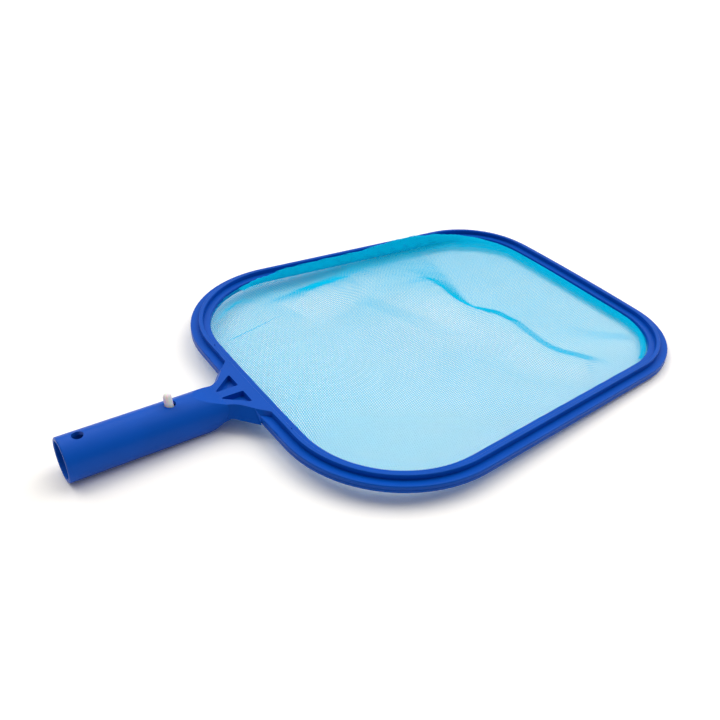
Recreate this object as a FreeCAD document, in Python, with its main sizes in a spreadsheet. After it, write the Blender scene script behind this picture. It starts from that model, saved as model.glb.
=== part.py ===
"""Leaf skimmer net: a moulded frame with its handle, the ring that clamps the net, the net
itself, and the sprung clip in the handle whose button locks it in a telescopic pole.

Row frame, in millimetres: the origin is the centre of the handle's open end, +X runs along
the handle to the net, +Y is across the net and +Z is the side the leaves lie on.
"""
import FreeCAD, Part
import math
import os

import Sketcher

doc = FreeCAD.newDocument("leaf_skimmer")
sheet = doc.addObject("Spreadsheet::Sheet", "Sizes")


class Measure:
    """A size that carries its number and the spreadsheet formula the number comes from."""

    def __init__(self, value, formula):
        self.value = value
        self.formula = formula

    def joined(self, other, sign, value):
        right = other.formula if isinstance(other, Measure) else repr(other)
        return Measure(value, "(" + self.formula + " " + sign + " " + right + ")")

    def __add__(self, other):
        return self.joined(other, "+", self.value + number(other))

    def __sub__(self, other):
        return self.joined(other, "-", self.value - number(other))

    def __mul__(self, other):
        return self.joined(other, "*", self.value * number(other))

    def __truediv__(self, other):
        return self.joined(other, "/", self.value / number(other))

    def __neg__(self):
        return Measure(-self.value, "(0 - " + self.formula + ")")


def number(size):
    return size.value if isinstance(size, Measure) else size


def cosine(angle):
    return Measure(math.cos(math.radians(angle.value)), "cos(" + angle.formula + " * 1 deg)")


def sine(angle):
    return Measure(math.sin(math.radians(angle.value)), "sin(" + angle.formula + " * 1 deg)")


def root(size):
    return Measure(math.sqrt(size.value), "sqrt(" + size.formula + ")")


row = 0


def size(name, value):
    """Write one driving dimension into the spreadsheet and return it."""
    global row
    row += 1
    sheet.set("A" + str(row), name)
    sheet.set("B" + str(row), str(value))
    sheet.setAlias("B" + str(row), name)
    return Measure(value, "Sizes." + name)


# Net opening, measured to the ridge's inner edge: wide at the neck, narrower at the far rim
opening_length = size("opening_length", 295.0)
neck_half_width = size("neck_half_width", 137.0)
far_half_width = size("far_half_width", 114.0)
neck_corner_radius = size("neck_corner_radius", 74.0)
far_corner_radius = size("far_corner_radius", 57.0)
neck_bow = size("neck_bow", 3.0)
far_bow = size("far_bow", 3.5)

# Frame section: a raised ridge between an inner ledge and an outer gutter with a lip
frame_top = size("frame_top", 8.2)
ridge_width = size("ridge_width", 2.8)
ridge_height = size("ridge_height", 3.3)
inner_ledge = size("inner_ledge", 5.0)
gutter_width = size("gutter_width", 5.2)
gutter_sag = size("gutter_sag", 0.55)
lip_radius = size("lip_radius", 0.8)
edge_round = size("edge_round", 0.5)
edge_bevel = size("edge_bevel", 0.35)
upper_wall = size("upper_wall", 3.0)

# Clamp ring under the frame, with a tongue in the frame's groove
ring_height = size("ring_height", 2.2)
net_gap = size("net_gap", 0.4)
tongue_width = size("tongue_width", 1.3)
tongue_height = size("tongue_height", 1.2)
tongue_clearance = size("tongue_clearance", 0.15)
tongue_inset = size("tongue_inset", 2.2)
seam_chamfer = size("seam_chamfer", 0.3)

# Net: a thin sheet of square gaps, its border clamped between frame and ring
net_thickness = size("net_thickness", 0.3)
net_grip = size("net_grip", 2.3)
net_pitch = size("net_pitch", 22.0)
net_strand = size("net_strand", 1.6)
net_border = size("net_border", 1.0)
net_seat_clearance = size("net_seat_clearance", 0.3)

# Handle: a hollow plug that slides into a pole, open at one end, cored to a taper at the other
handle_length = size("handle_length", 120.5)
plug_radius = size("plug_radius", 14.0)
plug_wall = size("plug_wall", 2.2)
rim_bevel = size("rim_bevel", 0.6)
bore_depth = size("bore_depth", 74.0)
core_taper = size("core_taper", 12.0)
core_end_radius = size("core_end_radius", 7.0)
mouth_bevel = size("mouth_bevel", 0.5)
hole_radius = size("hole_radius", 3.45)
end_hole_inset = size("end_hole_inset", 11.5)
button_hole_inset = size("button_hole_inset", 66.6)
button_hole_radius = size("button_hole_radius", 3.6)

# Neck: the plug's barrel runs on to the rim, cut to a ramp above and below, inside a flat deck
ramp_start = size("ramp_start", 81.0)
ramp_end = size("ramp_end", 98.0)
belly_start = size("belly_start", 82.0)
belly_end = size("belly_end", 94.0)
belly_level = size("belly_level", -3.5)
belly_sag = size("belly_sag", 0.9)

# Deck: half widths of its outline at its top and, wider, where it meets the table side
deck_start = size("deck_start", 93.0)
deck_near_half = size("deck_near_half", 10.6)
deck_bend_at = size("deck_bend_at", 106.0)
deck_bend_half = size("deck_bend_half", 17.0)
deck_end_half = size("deck_end_half", 24.0)
deck_sag = size("deck_sag", 1.6)
skirt_near_half = size("skirt_near_half", 13.2)
skirt_bend_at = size("skirt_bend_at", 101.5)
skirt_bend_half = size("skirt_bend_half", 18.6)
skirt_end_half = size("skirt_end_half", 31.0)
skirt_sag = size("skirt_sag", 1.0)
plate_half_width = size("plate_half_width", 33.2)
deck_round = size("deck_round", 0.5)
neck_clearance = size("neck_clearance", 0.4)
web_reach = size("web_reach", 1.3)

# Two blind triangular recesses in the deck, with a rib between them
rib_half_width = size("rib_half_width", 3.4)
recess_length = size("recess_length", 15.6)
recess_half_width = size("recess_half_width", 15.8)
recess_setback = size("recess_setback", 7.4)
recess_depth = size("recess_depth", 4.0)
recess_round = size("recess_round", 0.9)

# Clip: a bend near the open end, a plain leg below and a swinging arm with a domed button
clip_hinge_inset = size("clip_hinge_inset", 22.2)
clip_bend_inset = size("clip_bend_inset", 3.3)
clip_thickness = size("clip_thickness", 1.6)
clip_width = size("clip_width", 8.5)
clip_clearance = size("clip_clearance", 0.15)
wall_clearance = size("wall_clearance", 0.3)
arm_overrun = size("arm_overrun", 2.4)
button_radius = size("button_radius", 2.6)
button_setback = size("button_setback", 0.25)
button_lean = size("button_lean", 5.0)
button_proud = size("button_proud", 8.4)

# Nicks left by the ring's snap tabs, two in the ridge and one in the lip
nick_width = size("nick_width", 1.8)
nick_depth = size("nick_depth", 1.0)
ridge_nick_reach = size("ridge_nick_reach", 52.5)
lip_nick_reach = size("lip_nick_reach", 44.0)
doc.recompute()

# Levels and distances that several pieces share
ledge_level = frame_top - ridge_height
seam_level = ledge_level - upper_wall
ring_bottom = seam_level - ring_height
far_edge = handle_length + opening_length
outer_reach = ridge_width + gutter_width + lip_radius
bore_radius = plug_radius - plug_wall
tongue_end = outer_reach - tongue_inset
tongue_start = tongue_end - tongue_width
net_level = seam_level - (net_gap + net_thickness) / 2
neck_end = handle_length - outer_reach - neck_clearance
bore_wall = root(bore_radius * bore_radius - clip_width * clip_width / 4)
clip_bend_radius = bore_radius - clip_bend_inset
leg_rise = bore_wall - wall_clearance - clip_thickness / 2 - clip_bend_radius
leg_run = button_hole_inset + arm_overrun - clip_hinge_inset


# How far a quarter round bends from its chord, as a share of its radius
QUARTER_SAG = 1 - math.sqrt(0.5)


def bind(target, path, value):
    target.setExpression(path, value.formula)


def new_body(name):
    body = doc.addObject("PartDesign::Body", name)
    body.Label = name
    return body


def new_sketch(body, name, plane, offset=None):
    """A sketch on one of the body's own origin planes, moved along its normal by offset."""
    sketch = body.newObject("Sketcher::SketchObject", name)
    support = [f for f in body.Origin.OriginFeatures if f.Role == plane][0]
    sketch.AttachmentSupport = [(support, "")]
    sketch.MapMode = "FlatFace"
    if offset is not None:
        bind(sketch, "AttachmentOffset.Base.z", offset)
    return sketch


def place(sketch, geometry, end, across, up):
    """Tie one end of a piece of sketch geometry to two distances from the origin."""
    for kind, distance, axis in (("DistanceX", across, -2), ("DistanceY", up, -1)):
        if number(distance) == 0 and not isinstance(distance, Measure):
            sketch.addConstraint(Sketcher.Constraint("PointOnObject", geometry, end, axis))
            continue
        index = sketch.addConstraint(
            Sketcher.Constraint(kind, -1, 1, geometry, end, number(distance)))
        bind(sketch, "Constraints[" + str(index) + "]", distance)


def fix_radius(sketch, geometry, radius):
    index = sketch.addConstraint(Sketcher.Constraint("Radius", geometry, radius.value))
    bind(sketch, "Constraints[" + str(index) + "]", radius)


def point(across, up):
    return FreeCAD.Vector(number(across), number(up), 0)


def outline(sketch, corners, sags=None):
    """A closed outline through the corners, run so that the solid lies on its left.

    sags names the sides that are arcs: the sag bends the side to the right of the way it runs,
    outwards, when positive, and inwards when negative.
    """
    sags = sags or {}
    count = len(corners)
    first_end = {}
    for index in range(count):
        start = point(*corners[index])
        end = point(*corners[(index + 1) % count])
        first_end[index] = 1
        if index in sags:
            chord = end - start
            right = FreeCAD.Vector(chord.y, -chord.x, 0).normalize()
            middle = (start + end) * 0.5 + right * number(sags[index])
            sketch.addGeometry(Part.Arc(start, middle, end), False)
            if number(sags[index]) < 0:
                first_end[index] = 2
        else:
            sketch.addGeometry(Part.LineSegment(start, end), False)
    for index in range(count):
        before = (index - 1) % count
        sketch.addConstraint(Sketcher.Constraint(
            "Coincident", before, 3 - first_end[before], index, first_end[index]))
        place(sketch, index, first_end[index], *corners[index])


def hull(sketch, circles):
    """The outline of a belt round several circles, given anticlockwise as (across, up, radius)."""
    count = len(circles)
    first = sketch.GeometryCount
    normals = []
    for index in range(count):
        across, up, radius = circles[index]
        next_across, next_up, next_radius = circles[(index + 1) % count]
        run = point(next_across, next_up) - point(across, up)
        lean = math.acos((number(radius) - number(next_radius)) / run.Length)
        normals.append(math.atan2(run.y, run.x) - lean)
    for index in range(count):
        across, up, radius = circles[index]
        next_across, next_up, next_radius = circles[(index + 1) % count]
        start = normals[index - 1]
        turn = (normals[index] - start) % (2 * math.pi)
        ring = Part.Circle(point(across, up), FreeCAD.Vector(0, 0, 1), number(radius))
        arc = sketch.addGeometry(Part.ArcOfCircle(ring, start, start + turn), False)
        place(sketch, arc, 3, across, up)
        fix_radius(sketch, arc, radius)
        outward = FreeCAD.Vector(math.cos(normals[index]), math.sin(normals[index]), 0)
        leave = point(across, up) + outward * number(radius)
        arrive = point(next_across, next_up) + outward * number(next_radius)
        sketch.addGeometry(Part.LineSegment(leave, arrive), False)
    for index in range(2 * count):
        follower = first + (index + 1) % (2 * count)
        sketch.addConstraint(Sketcher.Constraint("Tangent", first + index, 2, follower, 1))


def rim_path(body, name):
    """The ridge's inner edge: straight sides, bowed ends and round corners.

    It starts and ends at the middle of the far rim, where the section is drawn.
    """
    if body is None:
        path = doc.addObject("Sketcher::SketchObject", name)
    else:
        path = new_sketch(body, name, "XY_Plane")
    neck_corner_at = handle_length + neck_bow
    far_corner_at = far_edge - far_bow
    neck_y = neck_half_width.value
    far_y = far_half_width.value
    neck_x = neck_corner_at.value
    far_x = far_corner_at.value
    slope = math.atan2(neck_y - far_y, far_x - neck_x)

    def corner(x, y, radius, side, far):
        """A first guess at a corner's arc, for the constraints to finish."""
        reach = radius / math.tan((math.pi / 2 + (slope if far else -slope)) / 2)
        inward = -1 if far else 1
        centre = FreeCAD.Vector(x + inward * radius, side * (y - reach), 0)
        straight_end = 0.0
        sloped = math.pi / 2 - slope
        if far:
            angles = (straight_end, sloped)
        else:
            angles = (sloped, math.pi)
        if side < 0:
            angles = (-angles[1], -angles[0])
        circle = Part.Circle(centre, FreeCAD.Vector(0, 0, 1), radius)
        return Part.ArcOfCircle(circle, angles[0], angles[1])

    def bow(apex, radius, half_width, centre_side, low, high):
        """A first guess at a bowed end, between two heights across the net."""
        centre = FreeCAD.Vector(apex + centre_side * radius, 0, 0)
        circle = Part.Circle(centre, FreeCAD.Vector(0, 0, 1), radius)
        base = 0.0 if centre_side < 0 else math.pi
        turn = [base - centre_side * math.asin(v / radius) for v in (low, high)]
        return Part.ArcOfCircle(circle, min(turn), max(turn))

    far_radius = (far_half_width * far_half_width + far_bow * far_bow) / (far_bow * 2)
    neck_radius = (neck_half_width * neck_half_width + neck_bow * neck_bow) / (neck_bow * 2)
    far_flat = far_y - far_corner_radius.value
    neck_flat = neck_y - neck_corner_radius.value
    far_r = far_corner_radius.value
    neck_r = neck_corner_radius.value
    pieces = [
        bow(far_edge.value, far_radius.value, far_y, -1, 0, far_flat),
        corner(far_x, far_y, far_r, 1, True),
        Part.LineSegment(point(far_x - far_r, far_y), point(neck_x + neck_r, neck_y)),
        corner(neck_x, neck_y, neck_r, 1, False),
        bow(handle_length.value, neck_radius.value, neck_y, 1, -neck_flat, neck_flat),
        corner(neck_x, neck_y, neck_r, -1, False),
        Part.LineSegment(point(neck_x + neck_r, -neck_y), point(far_x - far_r, -far_y)),
        corner(far_x, far_y, far_r, -1, True),
        bow(far_edge.value, far_radius.value, far_y, -1, -far_flat, 0),
    ]
    for piece in pieces:
        path.addGeometry(piece, False)
    for index in range(8):
        path.addConstraint(Sketcher.Constraint("Tangent", index, 2, index + 1, 1))
    path.addConstraint(Sketcher.Constraint("Coincident", 8, 2, 0, 1))
    place(path, 0, 1, far_edge, 0)
    for arc in (0, 8):
        path.addConstraint(Sketcher.Constraint("PointOnObject", arc, 3, -1))
    fix_radius(path, 0, far_radius)
    fix_radius(path, 8, far_radius)
    fix_radius(path, 4, neck_radius)
    place(path, 4, 3, handle_length + neck_radius, 0)
    for arc in (1, 7):
        fix_radius(path, arc, far_corner_radius)
    for arc in (3, 5):
        fix_radius(path, arc, neck_corner_radius)
    for line, side in ((2, 1), (6, -1)):
        guide = path.addGeometry(
            Part.LineSegment(point(neck_x, side * neck_y), point(far_x, side * far_y)), True)
        neck_at = neck_half_width if side > 0 else -neck_half_width
        far_at = far_half_width if side > 0 else -far_half_width
        place(path, guide, 1, neck_corner_at, neck_at)
        place(path, guide, 2, far_corner_at, far_at)
        path.addConstraint(Sketcher.Constraint("PointOnObject", line, 1, guide))
        path.addConstraint(Sketcher.Constraint("PointOnObject", line, 2, guide))
    return path


def sweep(body, name, profile, path):
    """Carry a section round the whole path."""
    pipe = body.newObject("PartDesign::AdditivePipe", name)
    pipe.Profile = (profile, [""])
    pipe.Spine = (path, ["Edge" + str(n + 1) for n in range(9)])
    pipe.Mode = "Standard"
    pipe.Transition = "Transformed"
    return pipe


def pad(body, name, sketch, length, downwards=False):
    feature = body.newObject("PartDesign::Pad", name)
    feature.Profile = (sketch, [""])
    feature.Reversed = downwards
    bind(feature, "Length", length)
    return feature


def pocket(body, name, sketch, depth, upwards=False):
    """Cut a sketch into the body, and stop if nothing was cut."""
    doc.recompute()
    before = body.Shape.Volume
    feature = body.newObject("PartDesign::Pocket", name)
    feature.Profile = (sketch, [""])
    feature.Reversed = upwards
    bind(feature, "Length", depth)
    doc.recompute()
    if body.Shape.Volume > before - 1.0:
        raise RuntimeError(name + " cut nothing")
    return feature


def rectangle(sketch, first, left, right, low, high):
    """A rectangle, tied to the sheet by two of its corners."""
    corners = [(left, low), (right, low), (right, high), (left, high)]
    for index in range(4):
        line = Part.LineSegment(point(*corners[index]), point(*corners[(index + 1) % 4]))
        sketch.addGeometry(line, False)
    for index in range(4):
        follower = first + (index + 1) % 4
        sketch.addConstraint(Sketcher.Constraint("Coincident", first + index, 2, follower, 1))
        direction = "Vertical" if index % 2 else "Horizontal"
        sketch.addConstraint(Sketcher.Constraint(direction, first + index))
    place(sketch, first, 1, left, low)
    place(sketch, first + 1, 2, right, high)


def circle(sketch, across, up, radius):
    """A full circle, with its centre and radius tied to the sheet."""
    ring = Part.Circle(point(across, up), FreeCAD.Vector(0, 0, 1), radius.value)
    index = sketch.addGeometry(ring, False)
    place(sketch, index, 3, across, up)
    fix_radius(sketch, index, radius)
    return index


def frame_section(body):
    """The frame's section, from the inner ledge over the ridge and the gutter to the lip."""
    section = new_sketch(body, "frame_section", "XZ_Plane")
    outer = far_edge + outer_reach
    groove_end = far_edge + tongue_end + tongue_clearance
    groove_start = far_edge + tongue_start - tongue_clearance
    groove_top = seam_level + tongue_height + tongue_clearance
    corners = [
        (far_edge - inner_ledge, seam_level),
        (groove_start, seam_level),
        (groove_start, groove_top),
        (groove_end, groove_top),
        (groove_end, seam_level),
        (outer - seam_chamfer, seam_level),
        (outer, seam_level + seam_chamfer),
        (outer, ledge_level - lip_radius),
        (outer - lip_radius, ledge_level),
        (far_edge + ridge_width, ledge_level - gutter_sag),
        (far_edge + ridge_width, frame_top - edge_round),
        (far_edge + ridge_width - edge_round, frame_top),
        (far_edge + edge_bevel, frame_top),
        (far_edge, frame_top - edge_bevel),
        (far_edge, ledge_level),
        (far_edge - inner_ledge + edge_bevel, ledge_level),
        (far_edge - inner_ledge, ledge_level - edge_bevel),
    ]
    lip_sag = lip_radius * QUARTER_SAG
    round_sag = edge_round * QUARTER_SAG
    outline(section, corners, {7: lip_sag, 10: round_sag})
    fix_radius(section, 7, lip_radius)
    fix_radius(section, 10, edge_round)
    return section


def neck_section(body, name, station, top_half, low_half, bottom):
    """A section across the neck, from the frame's top down to bottom, with round corners."""
    section = new_sketch(body, name, "YZ_Plane", station)
    hull(section, [
        (top_half - deck_round, frame_top - deck_round, deck_round),
        (deck_round - top_half, frame_top - deck_round, deck_round),
        (deck_round - low_half, bottom + deck_round, deck_round),
        (low_half - deck_round, bottom + deck_round, deck_round),
    ])
    return section


def loft(body, name, sections):
    feature = body.newObject("PartDesign::AdditiveLoft", name)
    feature.Profile = (sections[0], [""])
    feature.Sections = [(section, [""]) for section in sections[1:]]
    return feature


def revolve(body, kind, name, sketch):
    feature = body.newObject("PartDesign::" + kind, name)
    feature.Profile = (sketch, [""])
    feature.ReferenceAxis = (sketch, ["H_Axis"])
    feature.Angle = 360
    return feature


def make_frame():
    """One moulding: the rim round the net, the neck and the hollow plug."""
    body = new_body("frame")
    sweep(body, "rim", frame_section(body), rim_path(body, "rim_line"))
    make_plug(body)
    cut_ramps(body)
    make_neck(body)
    cut_recesses(body)
    cut_nicks(body)
    return body


def deck_outline(body, name, level, near_half, bend_at, bend_half, end_half, sag):
    """The deck's outline at one level: it leaves the barrel in an arc and widens to the rim."""
    plan = new_sketch(body, name, "XY_Plane", level)
    outline(plan, [
        (deck_start, -near_half),
        (bend_at, -bend_half),
        (neck_end, -end_half),
        (neck_end, end_half),
        (bend_at, bend_half),
        (deck_start, near_half),
    ], {0: -sag, 4: -sag})
    return plan


def make_neck(body):
    """The deck beside the rim, the web that joins them and the plate across the gutter.

    The web stops short of the groove below the gutter.
    """
    top = deck_outline(body, "deck_line", frame_top, deck_near_half, deck_bend_at,
                       deck_bend_half, deck_end_half, deck_sag)
    bottom = deck_outline(body, "skirt_line", ring_bottom, skirt_near_half, skirt_bend_at,
                          skirt_bend_half, skirt_end_half, skirt_sag)
    deck = loft(body, "deck", [bottom, top])
    deck.Ruled = True

    web_start = neck_section(body, "web_start", neck_end - neck_clearance, deck_end_half,
                             skirt_end_half, seam_level)
    web_end = neck_section(body, "web_end", neck_end + web_reach, deck_end_half,
                           skirt_end_half, seam_level)
    loft(body, "web", [web_start, web_end])

    plate_low = ledge_level - gutter_sag - edge_round
    plate_start = neck_section(body, "plate_start", neck_end - neck_clearance, deck_end_half,
                               (deck_end_half + skirt_end_half) / 2, plate_low)
    plate_end = neck_section(body, "plate_end", handle_length - ridge_width / 2,
                             plate_half_width, plate_half_width, plate_low)
    loft(body, "plate", [plate_start, plate_end])


def make_plug(body):
    """The hollow plug, with its cored bore and the two holes that go right through it."""
    plug_profile = new_sketch(body, "plug_profile", "XZ_Plane")
    outline(plug_profile, [
        (0, 0),
        (neck_end, 0),
        (neck_end, plug_radius),
        (rim_bevel, plug_radius),
        (0, plug_radius - rim_bevel),
    ])
    revolve(body, "Revolution", "plug", plug_profile)

    bore_profile = new_sketch(body, "bore_profile", "XZ_Plane")
    outline(bore_profile, [
        (0, 0),
        (bore_depth + core_taper, 0),
        (bore_depth + core_taper, core_end_radius),
        (bore_depth, bore_radius),
        (mouth_bevel, bore_radius),
        (0, bore_radius + mouth_bevel),
    ])
    revolve(body, "Groove", "bore", bore_profile)

    above = plug_radius + plug_wall
    holes = new_sketch(body, "hole_line", "XY_Plane", above)
    circle(holes, end_hole_inset, 0, hole_radius)
    circle(holes, button_hole_inset, 0, button_hole_radius)
    pocket(body, "holes", holes, above * 2)


def cut_ramps(body):
    """Cut the barrel level with the deck above and below, each up a ramp from the plug."""
    above = plug_radius + plug_wall
    ramp = new_sketch(body, "ramp_line", "XZ_Plane", -plug_radius)
    outline(ramp, [
        (ramp_start, plug_radius),
        (ramp_end, frame_top),
        (neck_end + web_reach, frame_top),
        (neck_end + web_reach, above),
        (ramp_start, above),
    ])
    pocket(body, "ramp", ramp, plug_radius * 2, upwards=True)

    belly = new_sketch(body, "belly_line", "XZ_Plane", -plug_radius)
    outline(belly, [
        (belly_start, -above),
        (neck_end + web_reach, -above),
        (neck_end + web_reach, ring_bottom),
        (belly_end, belly_level),
        (belly_start, -plug_radius),
    ], {2: belly_sag})
    pocket(body, "belly", belly, plug_radius * 2, upwards=True)


def cut_recesses(body):
    """Two triangular recesses with round corners, either side of the rib."""
    recesses = new_sketch(body, "recess_line", "XY_Plane", plug_radius)
    wide_at = handle_length - recess_setback - recess_round
    tip_at = handle_length - recess_setback - recess_length + recess_round * 2
    near = rib_half_width + recess_round
    far = recess_half_width - recess_round
    hull(recesses, [
        (tip_at, near, recess_round),
        (wide_at, near, recess_round),
        (wide_at, far, recess_round),
    ])
    hull(recesses, [
        (tip_at, -near, recess_round),
        (wide_at, -far, recess_round),
        (wide_at, -near, recess_round),
    ])
    pocket(body, "recesses", recesses, plug_radius - frame_top + recess_depth)


def cut_nicks(body):
    """Three small notches beside the snap tabs: two in the ridge, one in the lip."""
    nicks = new_sketch(body, "nick_line", "XY_Plane", frame_top)
    lip_at = handle_length - outer_reach
    half = nick_width / 2
    first = 0
    for near, far, middle in (
            (handle_length - nick_depth / 2, handle_length + nick_depth * 2, ridge_nick_reach),
            (handle_length - nick_depth / 2, handle_length + nick_depth * 2, -ridge_nick_reach),
            (lip_at - nick_depth, lip_at + nick_depth, lip_nick_reach)):
        rectangle(nicks, first, near, far, middle - half, middle + half)
        first += 4
    pocket(body, "nicks", nicks, frame_top - ledge_level + gutter_sag)


def make_clamp_ring():
    """The lower ring: it carries the net's border and a tongue that fills the frame's groove."""
    body = new_body("clamp_ring")
    section = new_sketch(body, "ring_section", "XZ_Plane")
    outer = far_edge + outer_reach
    inner = far_edge - inner_ledge
    seat_end = far_edge + net_grip + net_seat_clearance
    outline(section, [
        (inner + edge_bevel, ring_bottom),
        (outer - edge_bevel, ring_bottom),
        (outer, ring_bottom + edge_bevel),
        (outer, seam_level - seam_chamfer),
        (outer - seam_chamfer, seam_level),
        (far_edge + tongue_end, seam_level),
        (far_edge + tongue_end, seam_level + tongue_height),
        (far_edge + tongue_start, seam_level + tongue_height),
        (far_edge + tongue_start, seam_level),
        (seat_end, seam_level),
        (seat_end, seam_level - net_gap),
        (inner, seam_level - net_gap),
        (inner, ring_bottom + edge_bevel),
    ])
    sweep(body, "ring", section, rim_path(body, "ring_line"))
    return body


def sheet_of(name, path, reach, level, thickness):
    """A flat sheet inside the path moved outwards by reach."""
    border = doc.addObject("Part::Offset2D", name + "_border")
    border.Source = path
    border.Fill = False
    bind(border, "Value", reach)
    solid = doc.addObject("Part::Extrusion", name)
    solid.Base = border
    solid.DirMode = "Custom"
    solid.Dir = FreeCAD.Vector(0, 0, 1)
    solid.Solid = True
    bind(solid, "LengthFwd", thickness)
    bind(solid, "Placement.Base.z", level)
    return solid


def strand(name, centre, across):
    """One straight strand of the net, longer than the opening by a pitch at each end."""
    bar = doc.addObject("Part::Box", name)
    long_side = opening_length + net_pitch * 2
    start = handle_length - net_pitch
    bind(bar, "Height", net_thickness * 3)
    bind(bar, "Placement.Base.z", net_level - net_thickness)
    if across:
        bind(bar, "Length", net_strand)
        bind(bar, "Width", long_side)
        bind(bar, "Placement.Base.x", centre - net_strand / 2)
        bind(bar, "Placement.Base.y", -long_side / 2)
    else:
        bind(bar, "Length", long_side)
        bind(bar, "Width", net_strand)
        bind(bar, "Placement.Base.x", start)
        bind(bar, "Placement.Base.y", centre - net_strand / 2)
    return bar


def make_net():
    """One thin holed sheet: strands both ways inside a plain border that the ring clamps."""
    path = rim_path(None, "net_line")
    whole = sheet_of("net_sheet", path, net_grip, net_level, net_thickness)
    inside = sheet_of("net_window", path, -(inner_ledge + net_border), net_level, net_thickness)
    middle = handle_length + opening_length / 2
    strands = []
    for step in range(strand_count(opening_length)):
        offset = net_pitch * (step // 2 + 0.5) * (1 if step % 2 else -1)
        strands.append(strand("cross_strand", middle + offset, True))
    for step in range(strand_count(neck_half_width * 2)):
        offset = net_pitch * (step // 2 + 0.5) * (1 if step % 2 else -1)
        strands.append(strand("long_strand", offset, False))
    weave = doc.addObject("Part::MultiFuse", "weave")
    weave.Shapes = strands
    gaps = doc.addObject("Part::Cut", "gaps")
    gaps.Base = inside
    gaps.Tool = weave
    net = doc.addObject("Part::Cut", "net")
    net.Base = whole
    net.Tool = gaps
    net.Label = "net"
    return net


def strand_count(span):
    """An even number of strands, the middle pair half a pitch either side of the middle."""
    return 2 * int(span.value / net_pitch.value / 2 + 0.5)


def blade_line(sketch, side):
    """A straight leg of the clip, from the bend's end to a tip that clears the bore's wall."""
    half = clip_thickness / 2
    hull(sketch, [
        (clip_hinge_inset, clip_bend_radius * side, half),
        (button_hole_inset + arm_overrun, (clip_bend_radius + leg_rise) * side, half),
    ])


def make_clip_base():
    """The part of the clip that stays still: its bend and the leg that bears on the bore."""
    body = new_body("clip_base")
    profile = new_sketch(body, "bend_line", "XZ_Plane", -clip_width / 2)
    outer = clip_bend_radius + clip_thickness / 2
    inner = clip_bend_radius - clip_thickness / 2
    outline(profile, [
        (clip_hinge_inset, -outer),
        (clip_hinge_inset, -inner),
        (clip_hinge_inset, inner),
        (clip_hinge_inset, outer),
    ], {1: -inner, 3: outer})
    pad(body, "bend", profile, clip_width)
    leg = new_sketch(body, "leg_line", "XZ_Plane", -clip_width / 2)
    blade_line(leg, -1)
    pad(body, "leg", leg, clip_width)
    socket = new_sketch(body, "socket_line", "XZ_Plane", -clip_width / 2)
    circle(socket, clip_hinge_inset, clip_bend_radius, clip_thickness / 2 + clip_clearance)
    pocket(body, "socket", socket, clip_width, upwards=True)
    return body


def make_clip_arm():
    """The swinging arm, from its nose in the bend to the tip past its domed button."""
    body = new_body("clip_arm")
    profile = new_sketch(body, "arm_line", "XZ_Plane", -clip_width / 2)
    blade_line(profile, 1)
    pad(body, "blade", profile, clip_width)
    foot_at = button_hole_inset - button_setback
    foot = clip_bend_radius + leg_rise * (foot_at - clip_hinge_inset) / leg_run
    stem = (plug_radius + button_proud - button_radius - foot) / cosine(button_lean)
    button = round_feature(body, "AdditiveCylinder", "button", foot_at, foot)
    bind(button, "Height", stem)
    round_feature(body, "AdditiveSphere", "dome", foot_at - stem * sine(button_lean),
                  foot + stem * cosine(button_lean))
    doc.recompute()
    return body


def round_feature(body, kind, name, along, up):
    """A cylinder or a ball of the button's radius, leaning towards the open end."""
    feature = body.newObject("PartDesign::" + kind, name)
    bind(feature, "Radius", button_radius)
    support = [f for f in body.Origin.OriginFeatures if f.Role == "XY_Plane"][0]
    feature.AttachmentSupport = [(support, "")]
    feature.MapMode = "FlatFace"
    tilt = FreeCAD.Rotation(FreeCAD.Vector(0, 1, 0), -button_lean.value)
    feature.AttachmentOffset = FreeCAD.Placement(FreeCAD.Vector(0, 0, 0), tilt)
    feature.setExpression("AttachmentOffset.Rotation.Angle", (-button_lean).formula + " * 1 deg")
    bind(feature, "AttachmentOffset.Base.x", along)
    bind(feature, "AttachmentOffset.Base.z", up)
    return feature


frame = make_frame()
clamp_ring = make_clamp_ring()
clip_base = make_clip_base()
clip_arm = make_clip_arm()
net = make_net()
doc.recompute()

for item in doc.Objects:
    if "Invalid" in item.State or "Error" in item.State:
        raise RuntimeError(item.Label + " did not build")

os.makedirs("parts", exist_ok=True)
for item in (frame, clamp_ring, net, clip_base, clip_arm):
    if item.Shape.isNull() or not item.Shape.isValid() or len(item.Shape.Solids) != 1:
        raise RuntimeError(item.Label + " is not one valid solid")
    item.Shape.exportStep("parts/" + item.Label + ".step")
print("net gaps:", max(len(face.Wires) for face in net.Shape.Faces) - 1)
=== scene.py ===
# %% [markdown]
# # A leaf skimmer net for a pool
#
# The real thing is a flat blue frame of moulded plastic, a ring that clamps a fine net under it,
# and a hollow handle whose sprung clip locks it in a telescopic pole. The plastic pieces come
# from the CAD model as they are, because their shape is already right and only their finish is
# missing. The net is the one piece that CAD can't give: it is soft, so it is woven here, thread
# by thread, over a surface that is slack and creased as cloth is.

# %% Load the fixed frame and read its parts' boxes
import math

import bmesh
import bpy
from mathutils import Matrix, Vector, noise


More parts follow.
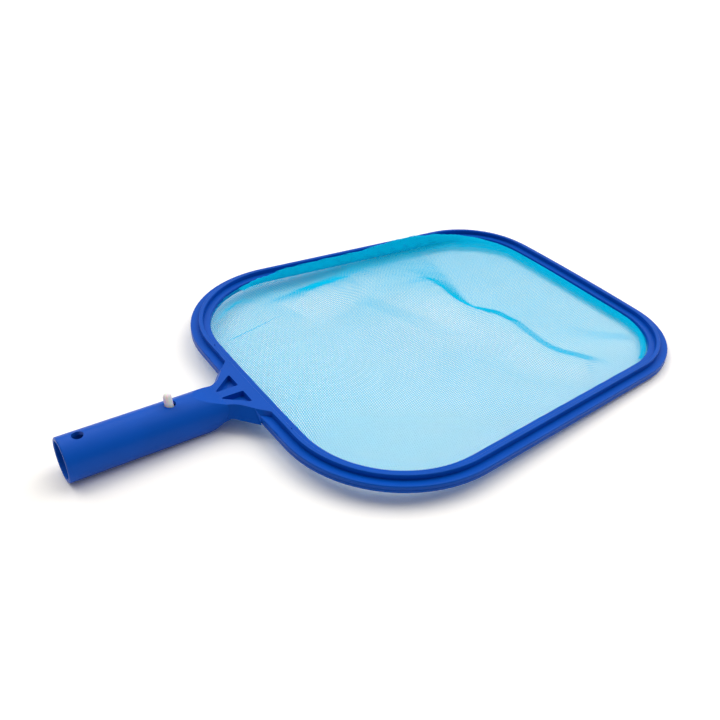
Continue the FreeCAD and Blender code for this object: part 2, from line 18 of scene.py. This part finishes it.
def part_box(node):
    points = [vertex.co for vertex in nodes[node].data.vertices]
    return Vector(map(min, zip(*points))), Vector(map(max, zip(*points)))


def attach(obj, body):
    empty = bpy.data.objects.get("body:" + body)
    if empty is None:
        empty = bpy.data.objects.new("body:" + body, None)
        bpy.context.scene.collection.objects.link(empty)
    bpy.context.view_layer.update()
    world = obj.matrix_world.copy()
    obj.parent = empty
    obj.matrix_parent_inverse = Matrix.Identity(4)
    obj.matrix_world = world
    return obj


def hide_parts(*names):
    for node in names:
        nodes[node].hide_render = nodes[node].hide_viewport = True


MM = 0.001
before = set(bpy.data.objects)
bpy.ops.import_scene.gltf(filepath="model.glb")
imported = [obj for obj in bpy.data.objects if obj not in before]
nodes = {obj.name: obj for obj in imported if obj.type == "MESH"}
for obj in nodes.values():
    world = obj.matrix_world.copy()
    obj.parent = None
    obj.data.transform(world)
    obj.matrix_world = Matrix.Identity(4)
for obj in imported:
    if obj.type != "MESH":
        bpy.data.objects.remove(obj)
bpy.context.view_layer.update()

# %% [markdown]
# ## The camera
#
# The photograph was taken from beside the handle, on its right as you look along it at the net,
# and about 34 degrees above the table. A camera is three directions and a place. The directions
# are given as two vectors, where it looks and what is to its right, and the third follows from
# them. Guessing Euler angles by eye would be slower and wouldn't line up with the photograph.

# %% Place the camera
eye = Vector((-0.06454, -0.38610, 0.32129))
looks_at = Vector((0.51375, 0.64577, -0.56483)).normalized()
to_the_right = Vector((0.80669, -0.58774, 0.06178)).normalized()
upwards = to_the_right.cross(looks_at)

lens = bpy.data.cameras.new("photo_view")
lens.sensor_width = 36.0
lens.lens = 40.72
lens.shift_x = -0.0591
lens.clip_start = 0.01
camera = bpy.data.objects.new("photo_view", lens)
bpy.context.scene.collection.objects.link(camera)
turn = Matrix((to_the_right, upwards, -looks_at)).transposed().to_4x4()
camera.matrix_world = Matrix.Translation(eye) @ turn
bpy.context.scene.camera = camera
print("looks down by", round(math.degrees(math.asin(-looks_at.z)), 1), "degrees")

# %% [markdown]
# ## The table it lies on
#
# The skimmer rests on the bottom of its open end and on the far rim, so it lies at a small
# slope. Tilting it would look right too, but the model has to stay square to its own axes, so
# it is the table that slopes under it. Both edges are rounded, and the table touches them a
# little way in from their ends. It lies a hair lower than that, so that no two surfaces meet.

# %% Slope the table under the open end and the far rim
TABLE_HALF = 6.0
TABLE_GAP = 0.0002
ROUNDED_MOUTH, ROUNDED_RIM = 0.0006, 0.0005
open_end = Vector((ROUNDED_MOUTH, 0.0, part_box("frame")[0].z))
far_rim = Vector((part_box("clamp_ring")[1].x - ROUNDED_RIM, 0.0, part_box("clamp_ring")[0].z))
along = (far_rim - open_end).normalized()
slope = math.atan2(along.z, along.x)
print("table slopes by", round(math.degrees(slope), 2), "degrees")

table_mesh = bpy.data.meshes.new("table")
shaper = bmesh.new()
bmesh.ops.create_grid(shaper, x_segments=1, y_segments=1, size=TABLE_HALF)
bmesh.ops.rotate(shaper, verts=shaper.verts, matrix=Matrix.Rotation(-slope, 3, "Y"))
bmesh.ops.translate(shaper, verts=shaper.verts, vec=open_end - Vector((0, 0, TABLE_GAP)))
shaper.to_mesh(table_mesh)
shaper.free()
table = bpy.data.objects.new("table", table_mesh)
bpy.context.scene.collection.objects.link(table)

# %% [markdown]
# The photograph is exposed until its table is pure white. More light would do that too, but it
# would bleach the skimmer, so the table has two colours instead: pale grey for the light that it
# throws on the skimmer, and brighter than white where the camera looks at it, or sees it in
# something glossy. It keeps the skimmer's shadow either way.


# %% Give the table its white
def new_material(name):
    """A node material with nothing in it but its output."""
    material = bpy.data.materials.new(name)
    material.use_nodes = True
    material.node_tree.nodes.clear()
    material.node_tree.nodes.new("ShaderNodeOutputMaterial").name = "out"
    return material


def linked(tree, start, end):
    tree.links.new(start, end)


LIGHTS_THE_SKIMMER = (0.86, 0.86, 0.86, 1)
MEETS_THE_EYE = (1.12, 1.085, 1.035, 1)
white_table = new_material("white_table")
tree = white_table.node_tree
paper = tree.nodes.new("ShaderNodeBsdfDiffuse")
ray = tree.nodes.new("ShaderNodeLightPath")
seen = tree.nodes.new("ShaderNodeMath")
seen.operation = "MAXIMUM"
mirrored = tree.nodes.new("ShaderNodeMath")
mirrored.operation = "MAXIMUM"
linked(tree, ray.outputs["Is Camera Ray"], seen.inputs[0])
linked(tree, ray.outputs["Is Glossy Ray"], mirrored.inputs[0])
linked(tree, ray.outputs["Is Transmission Ray"], mirrored.inputs[1])
linked(tree, mirrored.outputs[0], seen.inputs[1])
white = tree.nodes.new("ShaderNodeMix")
white.data_type = "RGBA"
white.inputs["A"].default_value = LIGHTS_THE_SKIMMER
white.inputs["B"].default_value = MEETS_THE_EYE
linked(tree, seen.outputs[0], white.inputs["Factor"])
linked(tree, white.outputs["Result"], paper.inputs["Color"])
linked(tree, paper.outputs[0], tree.nodes["out"].inputs["Surface"])
table_mesh.materials.append(white_table)
print("table:", len(tree.nodes), "nodes in its white")

# %% [markdown]
# ## Studio light
#
# The shadows in the photograph are soft and fall a little towards the viewer, so two broad lamps
# hang behind the skimmer and above it, one to each side, in a white room that is brighter
# overhead and behind than in front. A sun with a wide angle is used for each lamp, because it
# lights the near and the far end alike, which an area lamp wouldn't.

# %% Light the room
ROOM_IN_FRONT, ROOM_OVERHEAD = 0.19, 0.50
ROOM_LEAN = 0.5
PURE_WHITE = (1, 1, 1, 1)
away = Vector((looks_at.x, looks_at.y, 0)).normalized()
sideways = Vector((away.y, -away.x, 0))
overhead = Vector((0, 0, 1))
brightest = (away * ROOM_LEAN + overhead).normalized()

world = bpy.data.worlds.new("studio")
bpy.context.scene.world = world
world.use_nodes = True
room = world.node_tree
room.nodes.clear()
towards = room.nodes.new("ShaderNodeTexCoord")
facing = room.nodes.new("ShaderNodeVectorMath")
facing.operation = "DOT_PRODUCT"
facing.inputs[1].default_value = brightest
linked(room, towards.outputs["Generated"], facing.inputs[0])
spread = room.nodes.new("ShaderNodeMapRange")
spread.interpolation_type = "SMOOTHSTEP"
spread.inputs["From Min"].default_value = -0.2
spread.inputs["From Max"].default_value = 1.0
spread.inputs["To Min"].default_value = ROOM_IN_FRONT
spread.inputs["To Max"].default_value = ROOM_OVERHEAD
linked(room, facing.outputs["Value"], spread.inputs["Value"])
sky = room.nodes.new("ShaderNodeBackground")
sky.inputs["Color"].default_value = PURE_WHITE
linked(room, spread.outputs["Result"], sky.inputs["Strength"])
backdrop = room.nodes.new("ShaderNodeBackground")
backdrop.inputs["Color"].default_value = PURE_WHITE
backdrop.inputs["Strength"].default_value = 1.0
room_ray = room.nodes.new("ShaderNodeLightPath")
choose = room.nodes.new("ShaderNodeMixShader")
room_out = room.nodes.new("ShaderNodeOutputWorld")
linked(room, room_ray.outputs["Is Camera Ray"], choose.inputs["Fac"])
linked(room, sky.outputs[0], choose.inputs[1])
linked(room, backdrop.outputs[0], choose.inputs[2])
linked(room, choose.outputs[0], room_out.inputs["Surface"])
print("room:", ROOM_IN_FRONT, "in front,", ROOM_OVERHEAD, "overhead")

# %% Hang the two lamps
LAMP_STRENGTH = 1.38
LAMP_WIDTH = math.radians(56)
LAMP_UP, LAMP_AWAY, LAMP_ASIDE = 0.8, 0.38, 0.5
for name, side in (("left_lamp", -1), ("right_lamp", 1)):
    lamp_data = bpy.data.lights.new(name, "SUN")
    lamp_data.energy = LAMP_STRENGTH
    lamp_data.angle = LAMP_WIDTH
    lamp = bpy.data.objects.new(name, lamp_data)
    bpy.context.scene.collection.objects.link(lamp)
    lamp_from = overhead * LAMP_UP + away * LAMP_AWAY + sideways * side * LAMP_ASIDE
    lamp.rotation_euler = lamp_from.to_track_quat("Z", "Y").to_euler()
    print(name, "stands", round(math.degrees(math.asin(lamp_from.normalized().z))), "degrees up")
bpy.context.scene.view_settings.view_transform = "Standard"

# %% [markdown]
# ## Moulded plastic
#
# A moulded surface is never one flat colour: the melt leaves a faint cloudiness, the tool a fine
# grain, and handling a slightly duller sheen in places. All of that is worked out once, in a
# group that puts out a colour, a roughness and a height, and each plastic gives it its own
# values. The shader itself stays in each material.


# %% Build the group for moulded surfaces
def socket(group, name, kind, side, value=None):
    made = group.interface.new_socket(name=name, in_out=side, socket_type=kind)
    if value is not None:
        made.default_value = value
    return made


def moulded_group():
    group = bpy.data.node_groups.new("moulded_surface", "ShaderNodeTree")
    socket(group, "Colour", "NodeSocketColor", "INPUT", (0.5, 0.5, 0.5, 1))
    socket(group, "Cloud", "NodeSocketFloat", "INPUT", 0.1)
    socket(group, "Gloss", "NodeSocketFloat", "INPUT", 0.4)
    socket(group, "Colour", "NodeSocketColor", "OUTPUT")
    socket(group, "Roughness", "NodeSocketFloat", "OUTPUT")
    socket(group, "Height", "NodeSocketFloat", "OUTPUT")
    start = group.nodes.new("NodeGroupInput")
    end = group.nodes.new("NodeGroupOutput")
    place = group.nodes.new("ShaderNodeTexCoord")

    def grain(scale, detail):
        pattern = group.nodes.new("ShaderNodeTexNoise")
        pattern.inputs["Scale"].default_value = scale
        pattern.inputs["Detail"].default_value = detail
        linked(group, place.outputs["Object"], pattern.inputs["Vector"])
        return pattern

    cloud = grain(scale=38.0, detail=3.0)
    fine = grain(scale=2200.0, detail=2.0)
    rub = grain(scale=120.0, detail=4.0)

    lighter = group.nodes.new("ShaderNodeMapRange")
    lighter.inputs["From Min"].default_value = 0.3
    lighter.inputs["From Max"].default_value = 0.7
    lighter.inputs["To Min"].default_value = -1.0
    lighter.inputs["To Max"].default_value = 1.0
    linked(group, cloud.outputs["Fac"], lighter.inputs["Value"])
    share = group.nodes.new("ShaderNodeMath")
    share.operation = "MULTIPLY_ADD"
    linked(group, lighter.outputs["Result"], share.inputs[0])
    linked(group, start.outputs["Cloud"], share.inputs[1])
    share.inputs[2].default_value = 1.0
    tinted = group.nodes.new("ShaderNodeVectorMath")
    tinted.operation = "SCALE"
    linked(group, start.outputs["Colour"], tinted.inputs[0])
    linked(group, share.outputs[0], tinted.inputs["Scale"])
    linked(group, tinted.outputs["Vector"], end.inputs["Colour"])

    dull = group.nodes.new("ShaderNodeMath")
    dull.operation = "MULTIPLY_ADD"
    linked(group, rub.outputs["Fac"], dull.inputs[0])
    dull.inputs[1].default_value = 0.16
    linked(group, start.outputs["Gloss"], dull.inputs[2])
    linked(group, dull.outputs[0], end.inputs["Roughness"])
    linked(group, fine.outputs["Fac"], end.inputs["Height"])
    return group


moulded = moulded_group()
print("moulded surface:", len(moulded.nodes), "nodes")

# %% [markdown]
# The frame and the ring are one satin blue plastic, which lets no light in. The clip is a harder
# white one, which looks milky because light goes a little way into it. So the two share the
# group and the shader, and only the white has subsurface scattering. A glow of its own would
# bring the button nearer to the photograph's, but it would be wrong under other light.


# %% Mix the blue and the white plastic from it
def moulded_plastic(name, colour, cloud, gloss, grain_height, milky=0.0):
    material = new_material(name)
    tree = material.node_tree
    surface = tree.nodes.new("ShaderNodeGroup")
    surface.node_tree = moulded
    surface.inputs["Colour"].default_value = (*colour, 1)
    surface.inputs["Cloud"].default_value = cloud
    surface.inputs["Gloss"].default_value = gloss
    bump = tree.nodes.new("ShaderNodeBump")
    bump.inputs["Strength"].default_value = 0.5
    bump.inputs["Distance"].default_value = grain_height
    shader = tree.nodes.new("ShaderNodeBsdfPrincipled")
    shader.inputs["Specular IOR Level"].default_value = 0.13
    shader.inputs["Subsurface Weight"].default_value = milky
    shader.inputs["Subsurface Scale"].default_value = 0.002
    linked(tree, surface.outputs["Colour"], shader.inputs["Base Color"])
    linked(tree, surface.outputs["Roughness"], shader.inputs["Roughness"])
    linked(tree, surface.outputs["Height"], bump.inputs["Height"])
    linked(tree, bump.outputs["Normal"], shader.inputs["Normal"])
    linked(tree, shader.outputs["BSDF"], tree.nodes["out"].inputs["Surface"])
    return material


blue_plastic = moulded_plastic(
    "blue_plastic", (0.0, 0.082, 0.485), cloud=0.05, gloss=0.30, grain_height=0.00004)
white_plastic = moulded_plastic(
    "white_plastic", (0.97, 0.97, 0.96), cloud=0.02, gloss=0.30, grain_height=0.00002, milky=0.8)


def finish(node_name, material):
    """Give a CAD node its one material, and put all its faces in that material's slot."""
    piece = nodes[node_name]
    piece.data.materials.clear()
    piece.data.materials.append(material)
    for face in piece.data.polygons:
        face.material_index = 0
    print(node_name, "is", material.name, "on", len(piece.data.polygons), "faces")


for name in ("frame", "clamp_ring"):
    finish(name, blue_plastic)
for name in ("clip_base", "clip_arm"):
    finish(name, white_plastic)

# %% [markdown]
# ## The net
#
# The real net is a plain weave of cyan nylon thread, about a third of a millimetre thick and one
# and a half apart, cut to the frame's outline and clamped round its border. It could be one
# sheet with a pattern of holes painted on it, but then it would look as open from the side as
# from above. Real threads crowd together where the net turns away from you, and that is what
# makes its folds show. So it is woven: first the slack surface, then threads laid over it.

# %% Take the opening's outline from the CAD net
# GRIP is how far the net reaches under the frame, past the ridge's inner edge. The half widths
# and corner radii at the neck and at the far end are the ridge's own, from the CAD model.
GRIP = 0.0023
net_low, net_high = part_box("net")
opening_start = net_low.x + GRIP
opening_end = net_high.x - GRIP
net_level = (net_low.z + net_high.z) / 2
neck_half, far_half = 0.137, 0.114
neck_corner, far_corner = 0.074, 0.057
middle = Vector(((opening_start + opening_end) / 2, 0))


def half_width(x):
    """The ridge's inner edge across the net, at a distance along it."""
    share = (x - opening_start) / (opening_end - opening_start)
    return neck_half + (far_half - neck_half) * share


def inside(x, y):
    """How far inside the ridge's inner edge a point lies, in metres."""
    reach = min(x - opening_start, opening_end - x, half_width(x) - abs(y))
    for end, way, radius in ((opening_start, 1, neck_corner), (opening_end, -1, far_corner)):
        past_x = end + way * radius - x
        past_y = abs(y) - half_width(x) + radius
        if past_x * way > 0 and past_y > 0:
            reach = min(reach, radius - math.hypot(past_x, past_y))
    return reach


print("opening:", round((opening_end - opening_start) / MM), "mm long,",
      round(neck_half * 2 / MM), "mm wide at the neck")

# %% [markdown]
# The slack isn't spread evenly. The net stands up in a long roll against the far side of the
# frame, as high as the ridge and in one place higher, and dies out towards the viewer. It lies
# flat on the clamp ring's ledge first, rises steeply beyond it, and comes down again to the
# roll's foot. The roll is drawn as a few places round the frame, with a smooth change between
# them, because an even roll would miss the one place where it hides the ridge.

# %% Say how high the roll stands, going round the frame
# Each place: degrees round from the far rim, then two sizes in mm, the roll's height and how
# far in from the ridge its foot is. LEDGE and ROLL_RISE are in mm too.
LEDGE = 5.0
ROLL_RISE = 2.0
ROLL_FROM, ROLL_TO = -46, 128
roll_places = [
    (-180, 0.3, 8.0), (-48, 0.3, 8.0), (-36, 0.5, 9.5), (-20, 0.9, 13.0),
    (10, 1.5, 13.0), (25, 0.7, 13.5), (32, 1.8, 17.0), (40, 3.8, 19.0),
    (46, 5.8, 16.0), (53, 8.8, 14.0), (60, 11.4, 13.0), (66, 11.4, 12.0),
    (72, 10.2, 11.5), (84, 8.0, 11.0), (103, 7.8, 11.0), (114, 7.2, 10.5),
    (120, 3.9, 10.5), (127, 0.8, 11.0), (150, 0.3, 9.0), (180, 0.3, 9.0),
]


def smooth(share):
    """A change from 0 to 1 that starts and ends gently."""
    share = max(0.0, min(1.0, share))
    return share * share * (3 - 2 * share)


def roll(x, y):
    """How high the roll stands over a point, in metres, and the point's share of the way in
    from the ledge to the roll's foot, which is infinite where nothing is gathered."""
    turn = math.degrees(math.atan2(y, x - middle.x))
    reach = inside(x, y) / MM - LEDGE
    for (start, low, near), (end, high, far) in zip(roll_places, roll_places[1:]):
        if start <= turn <= end:
            share = smooth((turn - start) / (end - start))
            top = low + (high - low) * share
            foot = near + (far - near) * share - LEDGE
    fall = smooth((reach - ROLL_RISE) / (foot - ROLL_RISE))
    height = top * smooth(reach / ROLL_RISE) * (1 - fall)
    gathered_here = ROLL_FROM < turn < ROLL_TO and reach > 0
    return height * MM, reach / foot if gathered_here else math.inf


print("roll:", max(place[1] for place in roll_places), "mm high at most")

# %% [markdown]
# Each fold is a crest with a gentle slope towards the viewer and a steep one away from them, so
# the line of sight just grazes it: that is the bright line in the photograph. The steep slope is
# straight, because a slope that bends is only grazed in one place and gives a thin line. A cloth
# simulation would give folds too, but not these folds in these places, so they are drawn.

# %% Draw the folds as crests with two unlike slopes
# Each point of a crest, in mm: along, across, height, reach of the near slope and of the far one.
folds = {
    "long crease": [
        (300, 104, 0.0, 40, 36), (301, 84, 2.4, 46, 40), (301, 64, 4.8, 50, 39),
        (301, 48, 8.0, 56, 31), (300, 36, 9.8, 60, 26.5), (298, 22, 10.5, 62, 25),
        (298, 11, 10.3, 62, 26), (301, 2, 9.3, 60, 27), (307, -5, 7.2, 56, 25),
        (315, -13, 5.2, 50, 21.5), (319, -25, 4.7, 45, 17.5), (318, -41, 4.9, 40, 17),
        (317, -55, 4.9, 36, 17), (317, -65, 4.8, 32, 18.5), (320, -77, 4.7, 28, 20.5),
        (327, -88, 4.6, 24, 21), (331, -94, 4.5, 20, 21), (334, -100, 0.0, 18, 18)],
    "crease by the roll": [
        (194, 75, 0.0, 30, 24), (207, 78, 5.8, 32, 27), (217, 80, 7.7, 32, 29),
        (229, 83, 7.6, 32, 28), (242, 87, 5.4, 28, 23), (258, 93, 2.6, 24, 17),
        (276, 99, 0.0, 20, 12)],
    "middle bulge": [
        (236, 62, 0.0, 40, 20), (243, 46, 1.6, 44, 18), (250, 20, 2.4, 48, 18),
        (258, -12, 2.4, 48, 20), (266, -34, 0.0, 44, 20)],
    "far corner": [
        (346, -52, 0.0, 24, 20), (362, -74, 1.9, 24, 20), (384, -88, 1.9, 20, 16),
        (400, -97, 0.0, 14, 10)],
    "neck corner": [
        (134, 80, 0.0, 12, 9), (143, 87, 3.7, 14, 12), (151, 93, 4.0, 14, 12),
        (162, 101, 2.6, 14, 10), (174, 108, 0.0, 14, 9)],
    "near the neck": [
        (129, -38, 0.0, 9, 6), (137, -27, 1.8, 10, 6), (148, -14, 0.0, 10, 6)],
}
# Beyond its steep slope a fold has sunk by a share of its height, and it comes back to level
# over SINK_REACH. BLEND, in mm, softens the change of sizes from one stretch of a crest to the
# next, and ROUNDED is the share at each end of the steep slope that isn't straight.
SINK_SHARE = 0.45
SINK_REACH = 70 * MM
BLEND = 1.5
ROUNDED = 0.2


def flank(share):
    """A straight slope from 0 to 1 with its two ends rounded off."""
    share = max(0.0, min(1.0, share))
    if share > 0.5:
        return 1 - flank(1 - share)
    if share < ROUNDED:
        return share * share / (2 * ROUNDED * (1 - ROUNDED))
    return (share - ROUNDED / 2) / (1 - ROUNDED)


def fold(x, y, crest):
    """The height of one fold over a point; the far side of its crest is on its left."""
    here = Vector((x, y)) / MM
    distance = math.inf
    weight = 0.0
    sizes = Vector((0, 0, 0))
    for start, end in zip(crest, crest[1:]):
        a, b = Vector(start[:2]), Vector(end[:2])
        run = b - a
        share = max(0.0, min(1.0, (here - a).dot(run) / run.length_squared))
        gap = here - (a + run * share)
        if gap.length < distance:
            distance = gap.length
            far_side = run.x * gap.y > run.y * gap.x
        nearness = 1 / (gap.length + BLEND) ** 4
        weight += nearness
        sizes += Vector(start[2:]).lerp(Vector(end[2:]), share) * nearness
    height, near, far = sizes / weight
    if not far_side:
        return height * MM * (1 - smooth(distance / near))
    sink = height * SINK_SHARE
    if distance < far:
        return MM * (height - (height + sink) * flank(distance / far))
    return -MM * sink * (1 - smooth((distance - far) * MM / SINK_REACH))


print("folds:", ", ".join(f"{name} {max(p[2] for p in crest)} mm" for name, crest in folds.items()))

# %% [markdown]
# Between the folds the cloth is never quite level. Two sizes of noise, each from a slice of its
# own, give it a waviness of about a millimetre, because one size alone looks like a pattern. It
# fades out towards the clamped border, as the folds do: the net is held flat there.

# %% Add up the slack
FREE_REACH = 18 * MM
RIPPLE_HEIGHT, RIPPLE_LIFT = 0.0009, 0.0006
BROAD_RIPPLE, SMALL_RIPPLE = 17, 45
BROAD_SLICE, SMALL_SLICE = 2.0, 7.0
SMALL_SHARE = 0.4


def ripple(x, y):
    """The waviness at a point: above and below zero by about one at most."""
    broad = noise.noise(Vector((x * BROAD_RIPPLE, y * BROAD_RIPPLE, BROAD_SLICE)))
    small = noise.noise(Vector((x * SMALL_RIPPLE, y * SMALL_RIPPLE, SMALL_SLICE)))
    return broad + SMALL_SHARE * small


def slack(x, y):
    """How far the net stands above its clamped border, in metres."""
    reach = inside(x, y) - LEDGE * MM
    if reach <= 0:
        return 0.0
    free = smooth(reach / FREE_REACH)
    height = roll(x, y)[0] + free * sum(fold(x, y, crest) for crest in folds.values())
    return height + free * (RIPPLE_HEIGHT * ripple(x, y) + RIPPLE_LIFT)


print("slack in the middle:", round(slack(*middle) / MM, 1), "mm")

# %% [markdown]
# A thread is a curve with a thickness, and one curve object holds them all as separate splines.
# A straight run of thread needs only its two ends, so points that lie on it are left out. Each
# thread is a square tube, because at this size nobody sees that it isn't round.

# %% Lay one thread
THREAD = 0.345 * MM
LOOSE = 0.07 * MM
LONGEST_RUN = 30 * MM
OUTSIDE = (9, 9)
yarn = bpy.data.curves.new("yarn", "CURVE")
yarn.dimensions = "3D"
yarn.bevel_depth = THREAD / 2
yarn.bevel_resolution = 0
yarn.twist_mode = "Z_UP"


def kept(points):
    """Drop the points that a straight run would pass within a hair's breadth of."""
    chosen = [points[0]]
    start = 0
    for end in range(2, len(points)):
        a, b = points[start], points[end]
        run = (b - a).length
        off = max(((p - a).cross(b - a)).length / run for p in points[start + 1:end])
        if off > LOOSE or run > LONGEST_RUN:
            chosen.append(points[end - 1])
            start = end - 1
    chosen.append(points[-1])
    return chosen


def lay_thread(row, lift, belongs):
    """Lay a thread over each stretch of a row whose places belong to the layer."""
    stretch = []
    for x, y in row + [OUTSIDE]:
        if belongs(x, y):
            stretch.append(Vector((x, y, net_level + slack(x, y) + lift)))
            continue
        if len(stretch) > 2:
            points = kept(stretch)
            thread = yarn.splines.new("POLY")
            thread.points.add(len(points) - 1)
            for bead, place in zip(thread.points, points):
                bead.co = (*place, 1)
        stretch = []


print("thread:", round(THREAD / MM, 3), "mm thick")

# %% [markdown]
# From above, the threads aren't quite straight either. Pulled into the frame, the long ones
# drift sideways towards the neck and the cross ones bow towards it at both sides, and they lie a
# little further apart one way than the other. A straight grid would be simpler, but the lines
# of the weave would then run wrong in the corners.

# %% Say where the threads run
CROSS_PITCH = 1.43 * MM
LONG_PITCH = 1.65 * MM
FINE_STEP = 1.0 * MM
BOW = 1.3
DRIFT = 3.75
DRIFT_END = 0.228
CROSSING = 0.3


def long_row(across):
    """The places under a thread that runs from the neck to the far rim."""
    count = int((net_high.x - net_low.x) / FINE_STEP)
    row = []
    for step in range(count + 1):
        x = net_low.x + step * FINE_STEP
        row.append((x, across - DRIFT * max(0.0, DRIFT_END - x) ** 2))
    return row


def cross_row(along):
    """The places under a thread that runs from side to side."""
    count = int((neck_half + GRIP) / FINE_STEP)
    row = []
    for step in range(-count, count + 1):
        y = step * FINE_STEP
        row.append((along - BOW * y ** 2, y))
    return row


def weave(lift, shift, belongs):
    """Lay one layer of threads both ways, shifted by a share of the pitch; the long ones lie
    a little higher than the cross ones."""
    high, low = lift + THREAD * CROSSING, lift - THREAD * CROSSING
    most_drift = DRIFT * (DRIFT_END - net_low.x) ** 2
    for step in range(int((neck_half * 2 + most_drift) / LONG_PITCH) + 1):
        lay_thread(long_row(-neck_half + (step + shift) * LONG_PITCH), high, belongs)
    most_bow = BOW * neck_half ** 2
    for step in range(int((opening_end - opening_start + most_bow) / CROSS_PITCH) + 1):
        lay_thread(cross_row(opening_start + (step + shift) * CROSS_PITCH), low, belongs)


print("a long thread has", len(long_row(0)), "places to choose its points from")

# %% [markdown]
# Along the roll the slack is gathered into several layers, so more thread is laid there, each
# layer a share of the pitch beside the last and reaching a little less far in. One thicker layer
# would close the gaps too, but its edge would be hard, and the real band fades out.

# %% Weave the net and its gathered layers
LAYERS = 4
LAYER_LIFT = 0.8
FULL_REACH, LAYER_STEP = 1.28, 0.14
HELD_SHARE = 0.6


def clamped(x, y):
    """The test for the places of the net itself: the opening and most of the grip round it."""
    return inside(x, y) > -GRIP * HELD_SHARE


def gathered(layer):
    """The test for the places of one of the further layers along the roll."""
    return lambda x, y: roll(x, y)[1] < FULL_REACH - LAYER_STEP * layer


weave(0, 0, clamped)
single = len(yarn.splines)
for layer in range(1, LAYERS):
    weave(THREAD * LAYER_LIFT * layer, layer / LAYERS, gathered(layer))
print("weave:", single, "threads, and", len(yarn.splines) - single, "where it is gathered")

# %% [markdown]
# The threads become one mesh, so that the net is one piece, as it is in the hand. A curve would
# render as well, but only a mesh can be measured. It takes the place of the flat CAD net, which
# is hidden, and rides on the handle's body.

spun = bpy.data.objects.new("spun", yarn)
bpy.context.scene.collection.objects.link(spun)
unwound = spun.evaluated_get(bpy.context.evaluated_depsgraph_get())
net_mesh = bpy.data.meshes.new_from_object(unwound)
bpy.data.objects.remove(spun)
net_mesh.name = "net_weave"
net = bpy.data.objects.new("net_weave", net_mesh)
bpy.context.scene.collection.objects.link(net)
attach(net, "handle")
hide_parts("net")
print("net:", sum(len(p.vertices) - 2 for p in net_mesh.polygons), "triangles,",
      round(sum(p.area for p in net_mesh.polygons), 4), "square metres of thread")

# %% [markdown]
# ## Dyed nylon
#
# The thread is clear nylon with a cyan dye: it has hardly any gloss, and its colour is a little
# uneven from place to place. Light goes into one thread and comes out of the next, so the net is
# brighter where it is thick than its surface alone would be. Inside a thread, subsurface
# scattering gives that. From thread to thread it would take very many bounces, so a painted glow,
# a weak light that every thread gives out in its own colour, lit or shaded, stands for it. A wider
# scattering would make the thick places darker and greener.

# %% Dye the thread and give it a painted glow
DEEPER, LIGHTER = 0.9, 1.08
THREAD_BLUE = (0.0, 0.44, 0.68)
# PAINTED_GLOW is painted light: an emission in the thread's colour, though the thread is no lamp.
PAINTED_GLOW = (0.0, 0.165, 0.22)


def nylon_thread(name, colour, painted_glow):
    material = new_material(name)
    tree = material.node_tree
    place = tree.nodes.new("ShaderNodeTexCoord")
    lot = tree.nodes.new("ShaderNodeTexNoise")
    lot.inputs["Scale"].default_value = 60.0
    linked(tree, place.outputs["Object"], lot.inputs["Vector"])
    dye = tree.nodes.new("ShaderNodeMix")
    dye.data_type = "RGBA"
    dye.inputs["A"].default_value = (*[c * DEEPER for c in colour], 1)
    dye.inputs["B"].default_value = (*[min(1.0, c * LIGHTER) for c in colour], 1)
    linked(tree, lot.outputs["Fac"], dye.inputs["Factor"])
    shader = tree.nodes.new("ShaderNodeBsdfPrincipled")
    shader.inputs["Roughness"].default_value = 0.5
    shader.inputs["Specular IOR Level"].default_value = 0.03
    shader.inputs["Subsurface Weight"].default_value = 0.5
    shader.inputs["Subsurface Radius"].default_value = (1, 1, 1)
    shader.inputs["Subsurface Scale"].default_value = 0.0003
    # Painted glow: the thread gives out light of its own, and this brightens its shaded side too.
    shader.inputs["Emission Color"].default_value = (*painted_glow, 1)
    shader.inputs["Emission Strength"].default_value = 1.0
    linked(tree, dye.outputs["Result"], shader.inputs["Base Color"])
    linked(tree, shader.outputs["BSDF"], tree.nodes["out"].inputs["Surface"])
    return material


net_mesh.materials.append(nylon_thread("net_yarn", THREAD_BLUE, PAINTED_GLOW))
print("net's finish:", net_mesh.materials[0].name)
